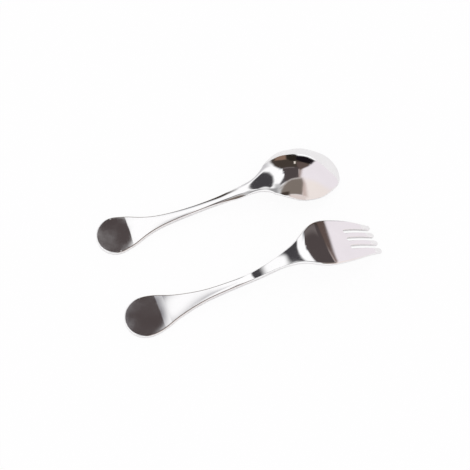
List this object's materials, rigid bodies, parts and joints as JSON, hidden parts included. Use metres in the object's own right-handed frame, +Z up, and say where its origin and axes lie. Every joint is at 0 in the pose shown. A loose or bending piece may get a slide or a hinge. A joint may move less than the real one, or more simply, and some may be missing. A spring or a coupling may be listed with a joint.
{
  "type": "spoon and fork set",
  "caption": "Child's spoon and fork in mirror polished stainless steel with round disc handle ends, lying face down side by side, bowl and tines turned to the table.",
  "frame": {"origin": "The middle of the pair's overall box, at the height of the table they lie on.", "axes": "+Z is up. The handles start at -X and the bowl and the tines are towards +X. The near side of the pair, the fork's side, faces -Y."},
  "size_m": [0.1588, 0.118, 0.0188],
  "materials": {
    "spoon_steel": "mirror polished stainless steel",
    "fork_steel": "mirror polished stainless steel"
  },
  "bodies": {
    "root": {"spoon": "spoon_steel", "fork": "fork_steel"}
  },
  "joints": []
}
